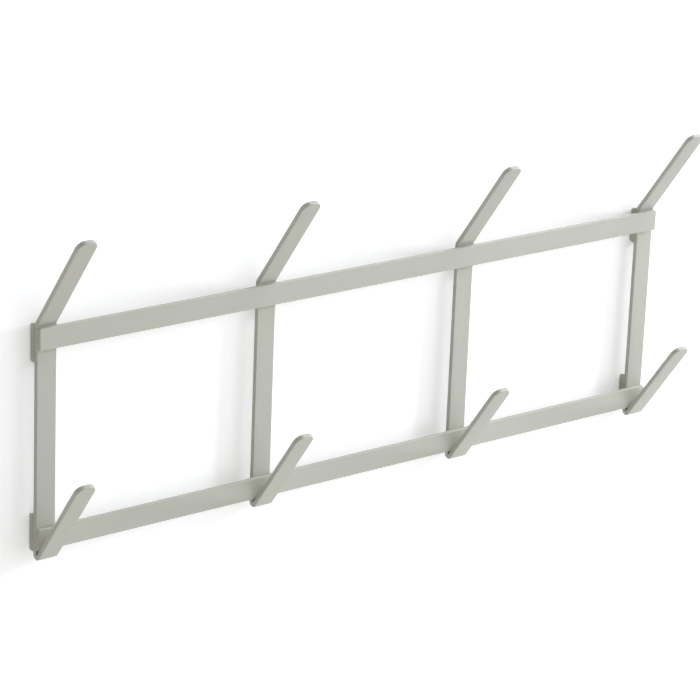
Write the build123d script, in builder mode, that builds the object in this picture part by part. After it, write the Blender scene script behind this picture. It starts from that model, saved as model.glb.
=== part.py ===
"""Wall coat rack: two flat rails, four bent double hook bars and four wall brackets.

Millimetres. +X runs along the rails, -Y faces the room and +Z is up. The wall is the plane
y = 0, and the origin is the middle of the four screw holes on that plane.
"""
import os
from math import cos, radians, sin, tan

from build123d import *

# Flat bar that the rails and the hook bars are cut from
bar_width = 18
bar_thickness = 4
edge_chamfer = 0.5

# Layout of the rack
hook_bar_names = ["left_outer", "left_inner", "right_inner", "right_outer"]
hook_bar_spacing = 210
rail_spacing = 164
rail_corner_radius = 1.5
wall_gap = 7

# Hooks: both lean forward from the vertical by the same angle
hook_lean = 36
upper_hook_length = 97
lower_hook_length = 94
tip_flat = 4
bend_radius = 2
fold_radius = 0.5
bend_clearance = 0.2
rail_seat_gap = 0.1

# Wall brackets: channels of folded sheet with a keyhole for a screw head
bracket_sheet = 1.5
bracket_bend_radius = 1
bracket_reach = 11
bracket_overhang = 2
bracket_corner_radius = 5
keyhole_entry_diameter = 9.5
keyhole_slot_width = 5
keyhole_slot_rise = 8

# Planes that the pieces share, counted from the wall towards the room
bar_back = -wall_gap
bar_front = bar_back - bar_thickness

# Heights that the pieces share
upper_rail_z = rail_spacing / 2
lower_rail_z = -rail_spacing / 2
upper_rail_top = upper_rail_z + bar_width / 2
lower_rail_bottom = lower_rail_z - bar_width / 2

# The upper bend starts just above the rail, and the lower fold holds the rail's front lower edge
lean = radians(hook_lean)
bend_z = upper_rail_top + bend_clearance + bend_radius * tan(lean / 2)
front_corner_seat = edge_chamfer - (rail_seat_gap + bar_thickness * cos(lean)) / sin(lean)
bottom_corner_seat = -(rail_seat_gap + (bar_thickness - edge_chamfer) * cos(lean)) / sin(lean)
fold_z = lower_rail_bottom + min(front_corner_seat, bottom_corner_seat)
across_hook = Axis((0, 0, 0), (0, cos(lean), sin(lean)))

# Places along the rails
bar_count = len(hook_bar_names)
bar_places = [(index - (bar_count - 1) / 2) * hook_bar_spacing for index in range(bar_count)]
rail_length = bar_places[-1] - bar_places[0] + bar_width

# A bracket stands out past its rail's outer edge and reaches further past the inner edge
bracket_height = bracket_overhang + bar_width + bracket_reach
upper_bracket_z = upper_rail_top + bracket_overhang - bracket_height / 2
lower_bracket_z = lower_rail_bottom - bracket_overhang + bracket_height / 2


def make_rail(name, height):
    """A straight length of flat bar in front of the hook bars, its edges broken all round."""
    with BuildPart() as rail:
        with BuildSketch(Plane.XZ.offset(-bar_front)):
            with Locations((0, height)):
                RectangleRounded(rail_length, bar_width, rail_corner_radius)
        extrude(amount=bar_thickness)
        chamfer(rail.faces().filter_by(Axis.Y).edges(), edge_chamfer)
    rail.part.label = name
    export_step(rail.part, f"parts/{name}.step")


def make_hook_bar(name, place):
    """One flat bar bent into an upper hook, an upright and a lower hook that folds round the rail."""
    lower_tip = (bar_front - lower_hook_length * sin(lean), fold_z + lower_hook_length * cos(lean))
    upper_tip = (bar_front - upper_hook_length * sin(lean), bend_z + upper_hook_length * cos(lean))
    with BuildPart() as bar:
        with BuildSketch(Plane.YZ.offset(place)):
            with BuildLine():
                FilletPolyline(
                    lower_tip,
                    (bar_front, fold_z),
                    (bar_front, bend_z),
                    upper_tip,
                    radius=[fold_radius, bend_radius],
                )
                offset(amount=bar_thickness, side=Side.RIGHT)
            make_face()
        extrude(amount=bar_width / 2, both=True)
        tip_corners = bar.edges().filter_by(across_hook)
        fillet(tip_corners, (bar_width - tip_flat) / 2)
        outline = bar.faces().filter_by(Axis.X).edges()
        chamfer(outline - outline.filter_by(across_hook), edge_chamfer)
    bar.part.label = name
    export_step(bar.part, f"parts/{name}.step")


def make_wall_bracket(name, place, height):
    """A channel behind an outer hook bar, its back plate on the wall, hung on a screw by a keyhole."""
    half_width = bar_width / 2
    with BuildPart() as bracket:
        with BuildSketch(Plane.XY.offset(height - bracket_height / 2)):
            with BuildLine():
                FilletPolyline(
                    (place - half_width, bar_back),
                    (place - half_width, 0),
                    (place + half_width, 0),
                    (place + half_width, bar_back),
                    radius=bracket_bend_radius + bracket_sheet,
                )
                offset(amount=bracket_sheet, side=Side.RIGHT)
            make_face()
        extrude(amount=bracket_height)
        with BuildSketch(Plane.YZ.offset(place)) as side_view:
            with Locations((bar_back / 2, height)):
                Rectangle(wall_gap, bracket_height)
            wall_corners = side_view.vertices().group_by(Axis.X)[-1]
            fillet(wall_corners, bracket_corner_radius)
        extrude(amount=bar_width, both=True, mode=Mode.INTERSECT)
        with BuildSketch(Plane.XZ):
            with Locations((place, height)):
                Circle(keyhole_entry_diameter / 2)
            with Locations((place, height + keyhole_slot_rise / 2)):
                SlotCenterToCenter(keyhole_slot_rise, keyhole_slot_width, rotation=90)
        extrude(amount=bracket_sheet, mode=Mode.SUBTRACT)
    bracket.part.label = name
    export_step(bracket.part, f"parts/{name}.step")


os.makedirs("parts", exist_ok=True)

make_rail("upper_rail", upper_rail_z)
make_rail("lower_rail", lower_rail_z)

for bar_name, bar_place in zip(hook_bar_names, bar_places):
    make_hook_bar(f"{bar_name}_hook_bar", bar_place)

for side, bracket_place in (("left", bar_places[0]), ("right", bar_places[-1])):
    make_wall_bracket(f"upper_{side}_wall_bracket", bracket_place, upper_bracket_z)
    make_wall_bracket(f"lower_{side}_wall_bracket", bracket_place, lower_bracket_z)
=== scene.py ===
"""Looks of the wall coat rack: satin powder coat on bent flat bar, hung on a white wall.

Metres, in the rack's own frame: +X along the rails, the wall at y = 0, the hooks towards -Y, +Z up.
"""

from math import pi, radians

import bmesh
import bpy
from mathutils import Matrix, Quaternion, Vector


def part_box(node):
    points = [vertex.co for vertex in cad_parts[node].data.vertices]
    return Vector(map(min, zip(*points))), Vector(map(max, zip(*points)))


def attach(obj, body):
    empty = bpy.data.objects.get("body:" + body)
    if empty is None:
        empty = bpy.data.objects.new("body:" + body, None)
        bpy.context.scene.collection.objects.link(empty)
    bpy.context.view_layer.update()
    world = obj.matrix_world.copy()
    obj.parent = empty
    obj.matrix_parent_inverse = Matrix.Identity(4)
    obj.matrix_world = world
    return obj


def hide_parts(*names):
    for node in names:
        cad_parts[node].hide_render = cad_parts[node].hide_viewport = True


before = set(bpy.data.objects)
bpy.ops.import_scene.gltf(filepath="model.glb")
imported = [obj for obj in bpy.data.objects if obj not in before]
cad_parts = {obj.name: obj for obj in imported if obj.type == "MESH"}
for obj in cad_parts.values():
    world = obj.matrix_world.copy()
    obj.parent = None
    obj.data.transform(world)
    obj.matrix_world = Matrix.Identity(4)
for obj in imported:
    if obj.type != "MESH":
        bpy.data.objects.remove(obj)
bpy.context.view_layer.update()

# Coated edges
merge_distance = 0.000002
flat_angle = 0.5
edge_round = 0.00022
edge_round_steps = 2
edge_angle = 30
flat_face_weight = 100

# Weld beads in the corners behind the rails
bead_length = 0.013
bead_leg = 0.0018
ripple_pitch = 0.0011
ripple_depth = 0.12
bead_steps = 60
bead_profile_steps = 6
bead_end_taper = 0.12
bead_end_rise = 0.05
bead_end_roundness = 0.5

# Paint: fineness of its clouds, speckle and skin, and how much of its tone the clouds make
paint_details = {"Cloud": 3.0, "Speckle": 1.0, "Skin": 2.0}
cloud_share = 0.5

# Powder coat
coat_light = (0.528, 0.525, 0.463)
coat_dark = (0.500, 0.497, 0.433)
coat_roughness = (0.40, 0.50)
coat_cloud_size = 0.045
coat_speckle_size = 0.0006
coat_peel_size = 0.0013
coat_peel_depth = 0.000016

# White wall and pale floor
wall_colour = (0.86, 0.86, 0.855)
wall_shade = (0.84, 0.84, 0.835)
wall_glow = 0.35
wall_cast_glow = 0.0
wall_glow_colour = (1.0, 1.0, 1.0)
wall_behind_rack = 0.0003
wall_half_width = 3.0
wall_top = 1.6
opening_inset_x = 0.003
opening_inset_z = 0.005
floor_colour = (0.56, 0.56, 0.555)
floor_shade = (0.54, 0.54, 0.535)
floor_glow = 0.38
floor_cast_glow = 0.38
floor_glow_colour = (1.0, 0.985, 0.93)
floor_below = 1.1
floor_reach = 10.0
matt_cloud_size = 0.25
matt_speckle_size = 0.002
matt_stipple_size = 0.004
matt_stipple_depth = 0.00005

# Room light from straight right and straight ahead
room_right = 1.10
room_front = 0.47

# Soft lamps: direction from the rack, distance, size, how bright a white card facing it looks, and colour
lamps = {
    "key_light": ((2.8, -1.0, 1.0), 3.2, 0.42, 0.54, (0.95, 0.99, 1.08)),
    "side_light": ((0.85, -0.60, 0.30), 2.4, 1.6, 0.15, (0.92, 0.98, 1.12)),
    "top_light": ((0.60, -0.12, 0.80), 1.7, 0.45, 0.27, (1.0, 1.0, 1.0)),
    "low_light": ((0.60, -0.70, -0.40), 1.2, 0.9, 0.10, (0.98, 1.0, 1.03)),
    "back_light": ((0.45, 1.0, -0.30), 2.2, 0.8, 0.30, (1.0, 1.0, 1.0)),
}

# Camera: turned to the left of straight-on and raised, as the photograph was taken
camera_turn = 39.29
camera_rise = 18.21
camera_roll = 2.30
camera_distance = 2.523
camera_aim = (-0.0167, -0.0110, 0.0193)
camera_lens = 157.0
camera_sensor = 36.0


def link(name, data):
    """A new object at the origin."""
    made = bpy.data.objects.new(name, data)
    bpy.context.scene.collection.objects.link(made)
    return made


def finished_mesh(piece, name):
    """The piece's mesh with its modifiers applied."""
    graph = bpy.context.evaluated_depsgraph_get()
    mesh = bpy.data.meshes.new_from_object(piece.evaluated_get(graph))
    mesh.name = name
    return mesh


# Materials


def fine_paint_group():
    """Shader group shared by the coat, wall and floor: soft clouds, fine speckle and a bumpy skin."""
    group = bpy.data.node_groups.new("fine paint", "ShaderNodeTree")
    group.interface.new_socket("Vector", in_out="INPUT", socket_type="NodeSocketVector")
    for label in paint_details:
        group.interface.new_socket(f"{label} Size", in_out="INPUT", socket_type="NodeSocketFloat")
    for label in paint_details:
        group.interface.new_socket(label, in_out="OUTPUT", socket_type="NodeSocketFloat")
    nodes, links = group.nodes, group.links
    inputs = nodes.new("NodeGroupInput")
    outputs = nodes.new("NodeGroupOutput")
    for label, detail in paint_details.items():
        per_metre = nodes.new("ShaderNodeMath")
        per_metre.operation = "DIVIDE"
        per_metre.inputs[0].default_value = 1.0
        noise = nodes.new("ShaderNodeTexNoise")
        noise.inputs["Detail"].default_value = detail
        links.new(inputs.outputs[f"{label} Size"], per_metre.inputs[1])
        links.new(inputs.outputs["Vector"], noise.inputs["Vector"])
        links.new(per_metre.outputs["Value"], noise.inputs["Scale"])
        links.new(noise.outputs["Fac"], outputs.inputs[label])
    return group


def place_fine_paint(nodes, links, group, cloud_size, speckle_size, skin_size):
    """The shared group in a material, reading the piece's own coordinates."""
    place = nodes.new("ShaderNodeTexCoord")
    paint = nodes.new("ShaderNodeGroup")
    paint.node_tree = group
    paint.inputs["Cloud Size"].default_value = cloud_size
    paint.inputs["Speckle Size"].default_value = speckle_size
    paint.inputs["Skin Size"].default_value = skin_size
    links.new(place.outputs["Object"], paint.inputs["Vector"])
    return paint


def two_tone(nodes, links, paint, dark, light):
    """A colour between dark and light that follows the clouds and the speckle."""
    blend = nodes.new("ShaderNodeMath")
    blend.operation = "MULTIPLY_ADD"
    blend.inputs[1].default_value = 1 - cloud_share
    cloud_part = nodes.new("ShaderNodeMath")
    cloud_part.operation = "MULTIPLY"
    cloud_part.inputs[1].default_value = cloud_share
    tone = nodes.new("ShaderNodeMix")
    tone.data_type = "RGBA"
    tone.inputs["A"].default_value = (*dark, 1)
    tone.inputs["B"].default_value = (*light, 1)
    links.new(paint.outputs["Cloud"], cloud_part.inputs[0])
    links.new(paint.outputs["Speckle"], blend.inputs[0])
    links.new(cloud_part.outputs["Value"], blend.inputs[2])
    links.new(blend.outputs["Value"], tone.inputs["Factor"])
    return tone.outputs["Result"]


def skin_bump(nodes, links, paint, depth):
    """The paint's bumpy skin as a normal."""
    bump = nodes.new("ShaderNodeBump")
    bump.inputs["Distance"].default_value = depth
    links.new(paint.outputs["Skin"], bump.inputs["Height"])
    return bump.outputs["Normal"]


def powder_coat(group):
    """Satin powder coat in a warm light grey with a faint orange-peel skin."""
    material = bpy.data.materials.new("satin_powder_coat")
    material.use_nodes = True
    nodes, links = material.node_tree.nodes, material.node_tree.links
    coat = nodes["Principled BSDF"]
    paint = place_fine_paint(nodes, links, group, coat_cloud_size, coat_speckle_size, coat_peel_size)
    gloss = nodes.new("ShaderNodeMapRange")
    gloss.inputs["To Min"].default_value = coat_roughness[0]
    gloss.inputs["To Max"].default_value = coat_roughness[1]
    links.new(paint.outputs["Cloud"], gloss.inputs["Value"])
    links.new(two_tone(nodes, links, paint, coat_dark, coat_light), coat.inputs["Base Color"])
    links.new(gloss.outputs["Result"], coat.inputs["Roughness"])
    links.new(skin_bump(nodes, links, paint, coat_peel_depth), coat.inputs["Normal"])
    return material


def seen_directly(nodes, links):
    """1 for what the camera sees straight, in a gloss or through glass, and 0 for light on other things."""
    path = nodes.new("ShaderNodeLightPath")
    straight_or_gloss = nodes.new("ShaderNodeMath")
    straight_or_gloss.operation = "MAXIMUM"
    seen = nodes.new("ShaderNodeMath")
    seen.operation = "MAXIMUM"
    links.new(path.outputs["Is Camera Ray"], straight_or_gloss.inputs[0])
    links.new(path.outputs["Is Glossy Ray"], straight_or_gloss.inputs[1])
    links.new(straight_or_gloss.outputs["Value"], seen.inputs[0])
    links.new(path.outputs["Is Transmission Ray"], seen.inputs[1])
    return seen.outputs["Value"]


def white_paint(name, group, shade, colour, glow_colour, glow, cast_glow):
    """Matt paint, clear from behind, with a glow as seen and a glow as it lights the things nearby."""
    material = bpy.data.materials.new(name)
    material.use_nodes = True
    nodes, links = material.node_tree.nodes, material.node_tree.links
    nodes.remove(nodes["Principled BSDF"])
    paint = place_fine_paint(nodes, links, group, matt_cloud_size, matt_speckle_size, matt_stipple_size)
    matt = nodes.new("ShaderNodeBsdfDiffuse")
    links.new(two_tone(nodes, links, paint, shade, colour), matt.inputs["Color"])
    links.new(skin_bump(nodes, links, paint, matt_stipple_depth), matt.inputs["Normal"])
    strength = nodes.new("ShaderNodeMapRange")
    strength.inputs["To Min"].default_value = cast_glow
    strength.inputs["To Max"].default_value = glow
    links.new(seen_directly(nodes, links), strength.inputs["Value"])
    lift = nodes.new("ShaderNodeEmission")
    lift.inputs["Color"].default_value = (*glow_colour, 1)
    links.new(strength.outputs["Result"], lift.inputs["Strength"])
    lifted = nodes.new("ShaderNodeAddShader")
    links.new(matt.outputs["BSDF"], lifted.inputs[0])
    links.new(lift.outputs["Emission"], lifted.inputs[1])
    side = nodes.new("ShaderNodeNewGeometry")
    clear = nodes.new("ShaderNodeBsdfTransparent")
    one_sided = nodes.new("ShaderNodeMixShader")
    links.new(side.outputs["Backfacing"], one_sided.inputs["Fac"])
    links.new(lifted.outputs["Shader"], one_sided.inputs[1])
    links.new(clear.outputs["BSDF"], one_sided.inputs[2])
    links.new(one_sided.outputs["Shader"], nodes["Material Output"].inputs["Surface"])
    return material


# Pieces


def coated_piece(node_name, material):
    """A bar or bracket whose broken edges are rounded over, as a coat of powder rounds them."""
    shape = bmesh.new()
    shape.from_mesh(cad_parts[node_name].data)
    bmesh.ops.remove_doubles(shape, verts=shape.verts, dist=merge_distance)
    bmesh.ops.dissolve_limit(shape, angle_limit=radians(flat_angle), verts=shape.verts, edges=shape.edges)
    mesh = bpy.data.meshes.new(f"{node_name}_coated")
    shape.to_mesh(mesh)
    shape.free()
    mesh.shade_smooth()
    mesh.materials.append(material)
    piece = link(f"{node_name}_coated", mesh)
    rounding = piece.modifiers.new("edge round", "BEVEL")
    rounding.width = edge_round
    rounding.segments = edge_round_steps
    rounding.limit_method = "ANGLE"
    rounding.angle_limit = radians(edge_angle)
    shading = piece.modifiers.new("flat faces", "WEIGHTED_NORMAL")
    shading.weight = flat_face_weight
    piece.data = finished_mesh(piece, f"{node_name}_coated")
    piece.modifiers.clear()
    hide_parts(node_name)
    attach(piece, "root")


def weld_corners():
    """Points where an upright meets a rail's back, with 1 on the upright's right and -1 on its left."""
    corners = []
    for rail_name in ("upper_rail", "lower_rail"):
        rail_low, rail_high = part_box(rail_name)
        for bar_name in (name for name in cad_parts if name.endswith("_hook_bar")):
            bar_low, bar_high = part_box(bar_name)
            for x, side in ((bar_low.x, -1), (bar_high.x, 1)):
                if rail_low.x + bead_leg < x < rail_high.x - bead_leg:
                    corners.append((Vector((x, rail_high.y, (rail_low.z + rail_high.z) / 2)), side))
    return corners


def weld_bead_tree():
    """Geometry nodes that set a rippled bead on each corner point, turned to its open side."""
    tree = bpy.data.node_groups.new("weld bead", "GeometryNodeTree")
    sockets = tree.interface
    sockets.new_socket("Corners", in_out="INPUT", socket_type="NodeSocketGeometry")
    for label in ("Length", "Leg", "Ripple Pitch", "Ripple Depth", "End Taper", "End Rise", "End Roundness"):
        sockets.new_socket(label, in_out="INPUT", socket_type="NodeSocketFloat")
    for label in ("Steps", "Profile Steps"):
        sockets.new_socket(label, in_out="INPUT", socket_type="NodeSocketInt")
    sockets.new_socket("Coat", in_out="INPUT", socket_type="NodeSocketMaterial")
    sockets.new_socket("Beads", in_out="OUTPUT", socket_type="NodeSocketGeometry")
    nodes, links = tree.nodes, tree.links
    given = nodes.new("NodeGroupInput").outputs
    result = nodes.new("NodeGroupOutput").inputs

    def math(operation, first, second=0.0):
        node = nodes.new("ShaderNodeMath")
        node.operation = operation
        for socket, value in zip(node.inputs, (first, second)):
            if isinstance(value, (int, float)):
                socket.default_value = value
            else:
                links.new(value, socket)
        return node.outputs["Value"]

    line = nodes.new("GeometryNodeCurvePrimitiveLine")
    for end, share in (("Start", -0.5), ("End", 0.5)):
        point = nodes.new("ShaderNodeCombineXYZ")
        links.new(math("MULTIPLY", given["Length"], share), point.inputs["Z"])
        links.new(point.outputs["Vector"], line.inputs[end])
    steps = nodes.new("GeometryNodeResampleCurve")
    links.new(line.outputs["Curve"], steps.inputs["Curve"])
    links.new(given["Steps"], steps.inputs["Count"])

    along = nodes.new("GeometryNodeSplineParameter")
    turns = math("MULTIPLY", math("DIVIDE", along.outputs["Length"], given["Ripple Pitch"]), pi)
    ripple = math("MULTIPLY", math("ABSOLUTE", math("SINE", turns)), given["Ripple Depth"])
    from_end = math("MINIMUM", along.outputs["Factor"], math("SUBTRACT", 1.0, along.outputs["Factor"]))
    rise = math("MINIMUM", math("DIVIDE", from_end, given["End Taper"]), 1.0)
    full = math("POWER", math("MAXIMUM", rise, given["End Rise"]), given["End Roundness"])
    radius = nodes.new("GeometryNodeSetCurveRadius")
    links.new(steps.outputs["Curve"], radius.inputs["Curve"])
    links.new(math("MULTIPLY", full, math("ADD", math("SUBTRACT", 1.0, given["Ripple Depth"]), ripple)),
              radius.inputs["Radius"])

    profile = nodes.new("GeometryNodeCurveArc")
    profile.mode = "RADIUS"
    profile.inputs["Sweep Angle"].default_value = pi / 2
    profile.inputs["Connect Center"].default_value = True
    links.new(given["Profile Steps"], profile.inputs["Resolution"])
    links.new(given["Leg"], profile.inputs["Radius"])
    bead = nodes.new("GeometryNodeCurveToMesh")
    bead.inputs["Fill Caps"].default_value = True
    links.new(radius.outputs["Curve"], bead.inputs["Curve"])
    links.new(profile.outputs["Curve"], bead.inputs["Profile Curve"])

    turn = nodes.new("GeometryNodeInputNamedAttribute")
    turn.data_type = "FLOAT"
    turn.inputs["Name"].default_value = "turn"
    angles = nodes.new("ShaderNodeCombineXYZ")
    links.new(turn.outputs["Attribute"], angles.inputs["Z"])
    place = nodes.new("GeometryNodeInstanceOnPoints")
    links.new(given["Corners"], place.inputs["Points"])
    links.new(bead.outputs["Mesh"], place.inputs["Instance"])
    links.new(angles.outputs["Vector"], place.inputs["Rotation"])
    whole = nodes.new("GeometryNodeRealizeInstances")
    links.new(place.outputs["Instances"], whole.inputs["Geometry"])
    coat = nodes.new("GeometryNodeSetMaterial")
    links.new(whole.outputs["Geometry"], coat.inputs["Geometry"])
    links.new(given["Coat"], coat.inputs["Material"])
    links.new(coat.outputs["Geometry"], result["Beads"])
    return tree


def weld_beads(material):
    """Coated weld beads behind the rails, one in each corner with an upright."""
    corners = weld_corners()
    mesh = bpy.data.meshes.new("weld_corners")
    mesh.from_pydata([point for point, side in corners], [], [])
    turn = mesh.attributes.new("turn", "FLOAT", "POINT")
    for index, (point, side) in enumerate(corners):
        turn.data[index].value = 0.0 if side > 0 else pi / 2
    piece = link("weld_beads", mesh)
    modifier = piece.modifiers.new("weld bead", "NODES")
    modifier.node_group = weld_bead_tree()
    values = {
        "Length": bead_length,
        "Leg": bead_leg,
        "Ripple Pitch": ripple_pitch,
        "Ripple Depth": ripple_depth,
        "End Taper": bead_end_taper,
        "End Rise": bead_end_rise,
        "End Roundness": bead_end_roundness,
        "Steps": bead_steps,
        "Profile Steps": bead_profile_steps,
        "Coat": material,
    }
    for socket in modifier.node_group.interface.items_tree:
        if socket.name in values:
            modifier[socket.identifier] = values[socket.name]
    piece.data = finished_mesh(piece, "weld_beads")
    piece.modifiers.clear()
    piece.data.shade_smooth()
    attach(piece, "root")


# Studio


def flat_sheet(name, points, faces, material):
    """A flat sheet of the studio."""
    mesh = bpy.data.meshes.new(name)
    mesh.from_pydata(points, [], faces)
    mesh.materials.append(material)
    link(name, mesh)


def white_wall(material):
    """The wall that the rack hangs on, left open behind the brackets so that light reaches their backs."""
    upper_left, lower_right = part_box("upper_left_wall_bracket"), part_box("lower_right_wall_bracket")
    across, up = [-wall_half_width], [-floor_below]
    for low, high in (upper_left, lower_right):
        across += [low.x + opening_inset_x, high.x - opening_inset_x]
    for low, high in (lower_right, upper_left):
        up += [low.z + opening_inset_z, high.z - opening_inset_z]
    across.append(wall_half_width)
    up.append(wall_top)
    points = [(x, wall_behind_rack, z) for z in up for x in across]
    faces = []
    for row in range(len(up) - 1):
        for column in range(len(across) - 1):
            if row % 2 == 0 or column % 2 == 0:
                first = row * len(across) + column
                faces.append((first, first + 1, first + 1 + len(across), first + len(across)))
    flat_sheet("wall", points, faces, material)


def pale_floor(material):
    """The floor, well below the rack."""
    reach, z = floor_reach, -floor_below
    corners = [(-reach, -reach, z), (reach, -reach, z), (reach, reach, z), (-reach, reach, z)]
    flat_sheet("floor", corners, [range(len(corners))], material)


def soft_box(name, towards, distance, size, brightness, colour):
    """A square soft lamp facing the rack from that direction."""
    data = bpy.data.lights.new(name, "AREA")
    data.shape = "SQUARE"
    data.size = size
    data.energy = brightness * pi ** 2 * distance ** 2
    data.color = colour
    lamp = link(name, data)
    towards = Vector(towards).normalized()
    lamp.location = towards * distance
    lamp.rotation_mode = "QUATERNION"
    lamp.rotation_quaternion = towards.to_track_quat("Z", "Y")
    lamp.visible_camera = False


def white_room():
    """Light from the right and the front of the room, which is plain white to the camera."""
    world = bpy.data.worlds.new("white_room")
    bpy.context.scene.world = world
    world.use_nodes = True
    nodes, links = world.node_tree.nodes, world.node_tree.links
    towards = nodes.new("ShaderNodeTexCoord")
    both = nodes.new("ShaderNodeMath")
    both.operation = "ADD"
    for direction, share in zip(((room_right, 0, 0), (0, -room_front, 0)), both.inputs):
        facing = nodes.new("ShaderNodeVectorMath")
        facing.operation = "DOT_PRODUCT"
        facing.inputs[1].default_value = direction
        links.new(towards.outputs["Generated"], facing.inputs[0])
        lit = nodes.new("ShaderNodeMath")
        lit.operation = "MAXIMUM"
        lit.inputs[1].default_value = 0.0
        links.new(facing.outputs["Value"], lit.inputs[0])
        links.new(lit.outputs["Value"], share)
    light = nodes["Background"]
    light.inputs["Color"].default_value = (1, 1, 1, 1)
    links.new(both.outputs["Value"], light.inputs["Strength"])
    white = nodes.new("ShaderNodeBackground")
    white.inputs["Color"].default_value = (1, 1, 1, 1)
    choice = nodes.new("ShaderNodeMixShader")
    links.new(seen_directly(nodes, links), choice.inputs["Fac"])
    links.new(light.outputs["Background"], choice.inputs[1])
    links.new(white.outputs["Background"], choice.inputs[2])
    links.new(choice.outputs["Shader"], nodes["World Output"].inputs["Surface"])


def camera():
    """A long lens at the photograph's place, turned to the left, raised and slightly rolled."""
    data = bpy.data.cameras.new("camera")
    data.sensor_fit = "HORIZONTAL"
    data.sensor_width = camera_sensor
    data.lens = camera_lens
    made = link("camera", data)
    ahead = Vector((0, 1, 0))
    ahead.rotate(Quaternion((1, 0, 0), radians(-camera_rise)))
    ahead.rotate(Quaternion((0, 0, 1), radians(-camera_turn)))
    made.location = Vector(camera_aim) - ahead * camera_distance
    made.rotation_mode = "QUATERNION"
    made.rotation_quaternion = ahead.to_track_quat("-Z", "Y") @ Quaternion((0, 0, 1), radians(camera_roll))
    bpy.context.scene.camera = made


fine_paint = fine_paint_group()
coat_material = powder_coat(fine_paint)

for cad_name in sorted(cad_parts):
    coated_piece(cad_name, coat_material)
weld_beads(coat_material)

wall_paint = white_paint(
    "matt_wall_paint", fine_paint, wall_shade, wall_colour, wall_glow_colour, wall_glow, wall_cast_glow
)
floor_paint = white_paint(
    "matt_floor_paint", fine_paint, floor_shade, floor_colour, floor_glow_colour, floor_glow, floor_cast_glow
)
white_wall(wall_paint)
pale_floor(floor_paint)
white_room()
for lamp_name, (towards, distance, size, brightness, colour) in lamps.items():
    soft_box(lamp_name, towards, distance, size, brightness, colour)
camera()
bpy.context.scene.view_settings.view_transform = "Standard"
